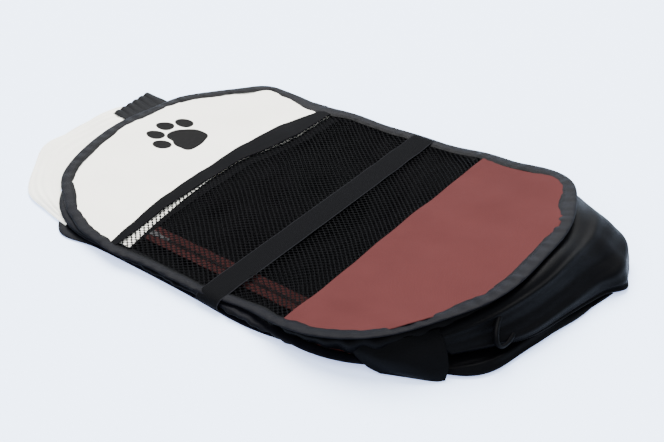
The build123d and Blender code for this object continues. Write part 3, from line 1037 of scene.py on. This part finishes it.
def eased(points, count):
    """Points along the first axis resampled as a smooth curve through them: cubic pieces whose slope at each
    point is half the way from its neighbour before to its neighbour after."""
    points = np.asarray(points, float)
    slopes = np.gradient(points, axis=0)
    place = np.linspace(0, len(points) - 1, count)
    piece = np.minimum(place.astype(int), len(points) - 2)
    t = (place - piece).reshape((-1,) + (1,) * (points.ndim - 1))
    start, end = points[piece], points[piece + 1]
    rise_start, rise_end = slopes[piece], slopes[piece + 1]
    return ((2 * t ** 3 - 3 * t ** 2 + 1) * start + (t ** 3 - 2 * t ** 2 + t) * rise_start
            + (3 * t ** 2 - 2 * t ** 3) * end + (t ** 3 - t ** 2) * rise_end)


def draped(guides, rows, columns):
    """A cloth surface through guide lines: each guide is a few points from the cloth's top edge to its
    bottom edge, and the surface is eased down each guide and then from guide to guide."""
    down = eased(np.moveaxis(np.asarray(guides, float), 0, 1), rows)
    across = eased(np.moveaxis(down, 1, 0), columns)
    return across * 0.001


def facing_out(grid):
    """A grid surface's unit normals."""
    normal = np.cross(np.gradient(grid, axis=0), np.gradient(grid, axis=1))
    return normal / np.maximum(np.linalg.norm(normal, axis=2, keepdims=True), 1e-12)


def creased(grid, folds, depth, seed):
    """The grid with soft random folds: points move along the surface's normal by waves that cross it."""
    rows, columns = grid.shape[:2]
    a = np.linspace(0, 1, rows)[:, None]
    b = np.linspace(0, 1, columns)[None, :]
    picked = np.random.default_rng(seed)
    waves = 0
    for _ in range(5):
        across = picked.uniform(0.4, 1) * folds * a + picked.uniform(-1.2, 1.2) * b
        waves = waves + np.sin(2 * np.pi * across + picked.uniform(0, 6))
    calm = np.sin(np.pi * b) ** 0.5
    return grid + facing_out(grid) * (waves / 2.4 * calm * depth)[..., None]


# Guides in millimetres, from the near side round the end to the far side
lobe_guides = [
    [(250, -130, 35), (262, -130, 33), (271, -126, 24), (277, -121, 15), (262, -112, 9)],
    [(266, -100, 42), (284, -95, 40), (297, -88, 27), (304, -84, 14), (284, -76, 8)],
    [(280, -62, 46), (298, -58, 45), (313, -52, 29), (322, -50, 11), (300, -42, 6)],
    [(288, -14, 48), (306, -12, 47), (322, -4, 30), (334, 2, 9), (312, 6, 4)],
    [(288, 32, 48), (306, 34, 48), (327, 42, 31), (344, 46, 6), (320, 44, 3)],
    [(285, 60, 47), (302, 64, 47), (332, 68, 29), (355, 70, 4), (326, 60, 2)],
    [(276, 84, 45), (293, 90, 45), (331, 94, 29), (350, 84, 3), (322, 78, 2)],
    [(262, 110, 43), (278, 118, 43), (317, 127, 31), (332, 118, 4), (304, 100, 2)],
    [(240, 136, 39), (255, 145, 39), (268, 151, 26), (274, 148, 4), (258, 138, 2)],
]
lobe = creased(draped(lobe_guides, 180, 150), 3.0, 0.0014, 5)


def pleated(grid, pleats):
    """The grid with long soft pleats: each is (where down the cloth at the first guide, where at the last,
    height, width), a ridge or, where the height is negative, a hollow."""
    rows, columns = grid.shape[:2]
    a = np.linspace(0, 1, rows)[:, None]
    b = np.linspace(0, 1, columns)[None, :]
    height = sum(h * np.exp(-((b - (start + (end - start) * a)) / w) ** 2) for start, end, h, w in pleats)
    return grid + facing_out(grid) * (height * np.sin(np.pi * a) ** 0.6)[..., None]


lobe = pleated(lobe, [(0.30, 0.36, -0.0022, 0.030), (0.46, 0.50, 0.0020, 0.05), (0.66, 0.56, -0.0026, 0.035),
                      (0.74, 0.68, 0.0022, 0.022)])
lower_guides = [
    [(236, -128, 12), (250, -138, 8), (258, -141, 2.5), (240, -128, 0.9)],
    [(262, -112, 13), (277, -127, 8), (286, -131, 2.5), (266, -112, 0.9)],
    [(282, -84, 14), (302, -99, 9), (312, -101, 2.5), (290, -84, 0.9)],
    [(296, -44, 14), (315, -53, 9), (325, -55, 2.5), (300, -46, 0.9)],
    [(304, -4, 12), (323, -11, 8), (332, -13, 2.5), (306, -6, 0.9)],
    [(312, 32, 10), (331, 27, 6), (341, 26, 2.0), (314, 32, 0.9)],
    [(322, 60, 6), (338, 60, 4), (348, 60, 1.6), (328, 62, 0.9)],
]
lower = pleated(creased(draped(lower_guides, 140, 60), 4.0, 0.0012, 8), [(0.45, 0.35, -0.0020, 0.06)])
flap_guides = [
    [(196, -170, 26), (206, -173, 17), (220, -172, 8), (232, -168, 3)],
    [(218, -160, 31), (230, -166, 20), (244, -163, 9), (254, -157, 2)],
    [(240, -146, 35), (254, -153, 24), (268, -149, 11), (276, -146, 1)],
    [(262, -118, 38), (276, -127, 28), (284, -135, 14), (284, -140, 2)],
]
corner_flap = creased(draped(flap_guides, 50, 60), 2.0, 0.0010, 3)
for name, grid, flat in (
    ("floor_cloth_lobe", lobe, (0.30, 0.105)),
    ("floor_cloth_lower_fold", lower, (0.30, 0.050)),
    ("floor_cloth_corner_flap", corner_flap, (0.070, 0.042)),
):
    cloth = thicken(grid_piece(name, grid, nylon), thin_cloth)
    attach(cloth, "left_wall")
    if name == "floor_cloth_lobe":
        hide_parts("floor_cloth_bulge")
    press_flat(cloth)
# The folded mouth on the lobe's near side: a rolled lip round a narrow opening
mouth_turn = np.arange(160) / 160 * 2 * np.pi
mouth_centre = np.array([0.3035, -0.0690, 0.0290])
mouth_across = np.array([0.0075, -0.0020, -0.0085])
mouth_along = np.array([-0.0050, 0.0250, 0.0030])
mouth_line = (
    mouth_centre + np.outer(np.cos(mouth_turn), mouth_across) + np.outer(np.sin(mouth_turn), mouth_along)
)
mouth_ahead = np.roll(mouth_line, -1, 0) - np.roll(mouth_line, 1, 0)
mouth_ahead /= np.linalg.norm(mouth_ahead, axis=1, keepdims=True)
mouth_side = np.cross(mouth_ahead, upwards)
mouth_side /= np.linalg.norm(mouth_side, axis=1, keepdims=True)
mouth_up = np.cross(mouth_side, mouth_ahead)
lip_turn = np.arange(14) / 14 * 2 * np.pi
lip_size = 0.0024 + 0.0005 * np.sin(2 * mouth_turn)
lip_out = np.cos(lip_turn)[None, :, None] * mouth_side[:, None, :]
lip_rise = np.sin(lip_turn)[None, :, None] * mouth_up[:, None, :]
mouth_grid = mouth_line[:, None, :] + lip_size[:, None, None] * (lip_out + lip_rise)
mouth = grid_piece("floor_cloth_folded_mouth", mouth_grid, nylon, closed=(True, True))
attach(mouth, "left_wall")
press_flat(mouth)
# The bunch under the front wall: a skirt from the front hoop's underside down to the wall below
skirt_where = np.linspace(0.815, 1.185, 300)
skirt_rows = [(0.010, 1.0), (0.0035, 0.75), (0.0050, 0.45), (0.0095, 0.12), (0.016, 0.0)]
skirt_lines = []
for inset, share_up in skirt_rows:
    line = hoop_line("front_wall", inset + 0.0012 * ripple(round_share, 50, 71) * (0 < share_up < 1))
    closed_line = np.append(line, line[:1], axis=0)
    share = np.append(round_share, 1)
    skirt_x, skirt_y = (np.interp(skirt_where % 1, share, closed_line[:, k]) for k in (0, 1))
    flat_line = np.stack([skirt_x, skirt_y, 0 * skirt_x + wall_level["front_wall"] - 0.0002], axis=1)
    top = bent(flat_line)
    floor_z = wall_level["right_wall"] + 0.0032
    z = floor_z + (top[:, 2] - floor_z) * share_up
    skirt_lines.append(np.stack([top[:, 0] * share_up + skirt_x * (1 - share_up), skirt_y, z], axis=1))
skirt_grid = np.moveaxis(eased(np.array(skirt_lines), 26), 0, 1)
bunched = creased(skirt_grid, 30, 0.0008, 14)[::-1]
skirt = thicken(grid_piece("floor_cloth_bunched", bunched, nylon), thin_cloth)
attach(skirt, "front_wall")
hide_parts("floor_cloth_bunch")
flatten_when_open(skirt, "front_wall")

# Loose roof cloth. Thin cream cloth that hangs out past the roof end in a shallow crescent,
# with fine folds along the hoop, and the black seam cloth gathered at its far corner.
roof_guides = [
    [(-186, -168, 4), (-190, -176, 5), (-193, -181, 3), (-190, -172, 0.8)],
    [(-222, -158, 7), (-232, -168, 6), (-238, -175, 2.5), (-226, -164, 0.8)],
    [(-256, -136, 8), (-272, -154, 6.5), (-284, -163, 2.5), (-266, -146, 0.8)],
    [(-278, -108, 9), (-304, -124, 7), (-327, -120, 2.5), (-300, -114, 0.8)],
    [(-290, -70, 9), (-326, -84, 7.5), (-353, -88, 2.5), (-322, -82, 0.8)],
    [(-294, -30, 9), (-332, -40, 8), (-357, -50, 2.5), (-326, -42, 0.8)],
    [(-296, 8, 9), (-334, 2, 8.5), (-358, -4, 3), (-330, 0, 0.8)],
    [(-292, 36, 8), (-328, 36, 6.5), (-356, 36, 2.5), (-330, 30, 0.8)],
    [(-284, 58, 7), (-312, 56, 5), (-338, 54, 2.5), (-316, 50, 0.8)],
]
roof_grid = draped(roof_guides, 60, 180)
rib = np.linspace(0, 1, roof_grid.shape[1])[None, :]
turnwise = np.linspace(0, 1, roof_grid.shape[0])[:, None]
ribs = np.sin(rib * 46 + 5 * turnwise + 2 * np.sin(turnwise * 9)) * np.sin(np.pi * np.clip(rib * 1.6, 0, 1))
roof_grid[..., 2] += 0.0007 * ribs
roof_grid = creased(roof_grid, 5.0, 0.0009, 21)
roof = thicken(grid_piece("roof_cloth_spill", roof_grid[::-1], roof_cloth), thin_cloth)
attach(roof, "left_wall")
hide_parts("roof_cloth_bulge")
press_flat(roof)
tab_low, tab_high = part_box("gathered_tab")
tab_long = np.linspace(0, 1, 80)[:, None]
tab_across = np.linspace(0, 1, 90)[None, :]
pleat = 0.0016 * np.abs(np.sin(tab_across * np.pi * 6 + 0.5 * np.sin(tab_long * 5))) * (0.4 + 0.6 * tab_long)
tab_grid = np.stack([
    tab_high.x + 0.006 - (tab_high.x - tab_low.x) * (tab_long * (0.80 + 0.10 * tab_across)),
    tab_low.y - 0.010 + (tab_high.y - tab_low.y + 0.022) * tab_across + 0.004 * tab_long,
    tab_high.z + 0.0022 + pleat - 0.0012 * tab_long ** 2,
], axis=-1)
tab = thicken(grid_piece("gathered_seam_cloth", tab_grid[::-1], seam_satin), 0.0004)
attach(tab, "left_wall")
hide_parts("gathered_tab")
press_flat(tab)
